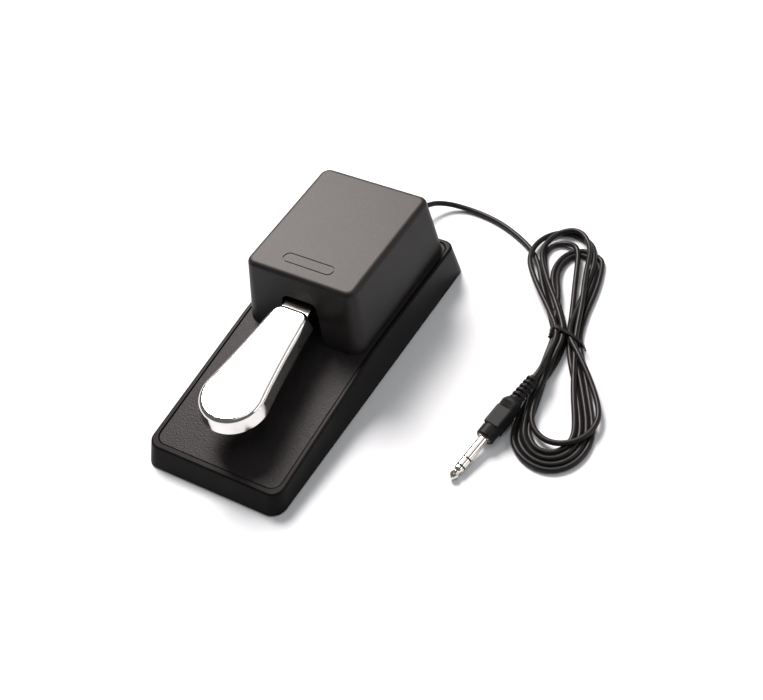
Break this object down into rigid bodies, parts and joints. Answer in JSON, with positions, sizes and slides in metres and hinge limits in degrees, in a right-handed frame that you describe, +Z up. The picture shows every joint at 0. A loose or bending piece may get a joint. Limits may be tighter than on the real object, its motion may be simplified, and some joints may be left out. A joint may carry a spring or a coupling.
{
  "type": "sustain pedal",
  "caption": "Piano-style sustain pedal: wedge base, box housing, polished spoon lever on a sprung pivot, geared sensor and a tied lead with a jack plug.",
  "frame": {"origin": "centre of the base on the floor, cord and plug left out", "axes": "+Z up, -Y towards the toe of the lever, +Y towards the heel where the lead leaves, +X to the right"},
  "size_m": [0.2514, 0.2937, 0.0733],
  "materials": {
    "satin_black_moulding": "satin, fine texture",
    "grained_black_moulding": "fine leather grain",
    "matte_black_moulding": "fine spark texture",
    "blackened_steel": "satin black paint",
    "black_rubber": "matte",
    "zinc_screws": "bright zinc",
    "chrome_plate": "mirror polished",
    "plated_steel": "zinc plated sheet",
    "ground_steel": "ground",
    "spring_steel": "oiled spring wire",
    "bronze": "sintered",
    "nylon": "natural nylon",
    "felt": "pressed felt",
    "pot_case": "pressed metal case",
    "wire_insulation": "thin insulation",
    "cord_rubber": "moulded rubber",
    "cord_jacket": "smooth flexible jacket",
    "tie_plastic": "plastic-coated wire",
    "plug_plastic": "moulded",
    "plug_insulation": "glossy",
    "nickel_plate": "polished nickel"
  },
  "bodies": {
    "base": {"base_frame": "satin_black_moulding", "top_plate": "grained_black_moulding", "floor_plate": "blackened_steel", "rubber_sole": "black_rubber", "floor_screws": "zinc_screws", "housing_cover": "matte_black_moulding", "housing_screws": "zinc_screws", "pivot_bracket": "plated_steel", "bracket_screws": "zinc_screws", "pivot_shaft": "ground_steel", "shaft_clips": "spring_steel", "lower_spring_seat": "nylon", "return_spring": "spring_steel", "down_stop_bumper": "black_rubber", "up_stop_pad": "felt", "pot_body": "pot_case", "pot_nut": "zinc_screws", "pot_washer": "zinc_screws", "pot_bracket": "plated_steel", "pot_screws": "zinc_screws", "signal_leads": "wire_insulation", "cord_clamp": "nylon", "clamp_screws": "zinc_screws", "strain_relief": "cord_rubber", "cord_inner": "cord_jacket", "cord_lead": "cord_jacket", "cord_hank": "cord_jacket", "hank_tie": "tie_plastic", "cord_tail": "cord_jacket", "plug_cord_end": "cord_jacket", "plug_boot": "cord_rubber", "plug_barrel": "plug_plastic", "plug_sleeve": "nickel_plate", "plug_ring": "nickel_plate", "plug_tip": "nickel_plate", "plug_insulators": "plug_insulation"},
    "pedal": {"pedal_lever": "chrome_plate", "lever_arm": "plated_steel", "arm_screws": "zinc_screws", "pivot_bushes": "bronze", "upper_spring_seat": "nylon", "sector_gear": "nylon", "sector_screws": "zinc_screws"},
    "pot_rotor": {"pinion": "nylon", "pot_shaft": "ground_steel"}
  },
  "joints": [
    {"name": "pedal_pivot", "type": "hinge", "parent": "base", "child": "pedal", "pos_m": [0, 0.078, 0.046], "axis": [1, 0, 0], "range_deg": [0, 6], "stiffness_Nm_per_rad": 12, "springref_deg": -4.58, "deforming": ["return_spring"]},
    {"name": "pot_turn", "type": "hinge", "parent": "base", "child": "pot_rotor", "pos_m": [0, 0.03914, 0.04267], "axis": [1, 0, 0], "range_deg": [-34, 1]}
  ],
  "couplings": [
    {"joint": "pot_turn", "follows": "pedal_pivot", "ratio": -5.5}
  ]
}
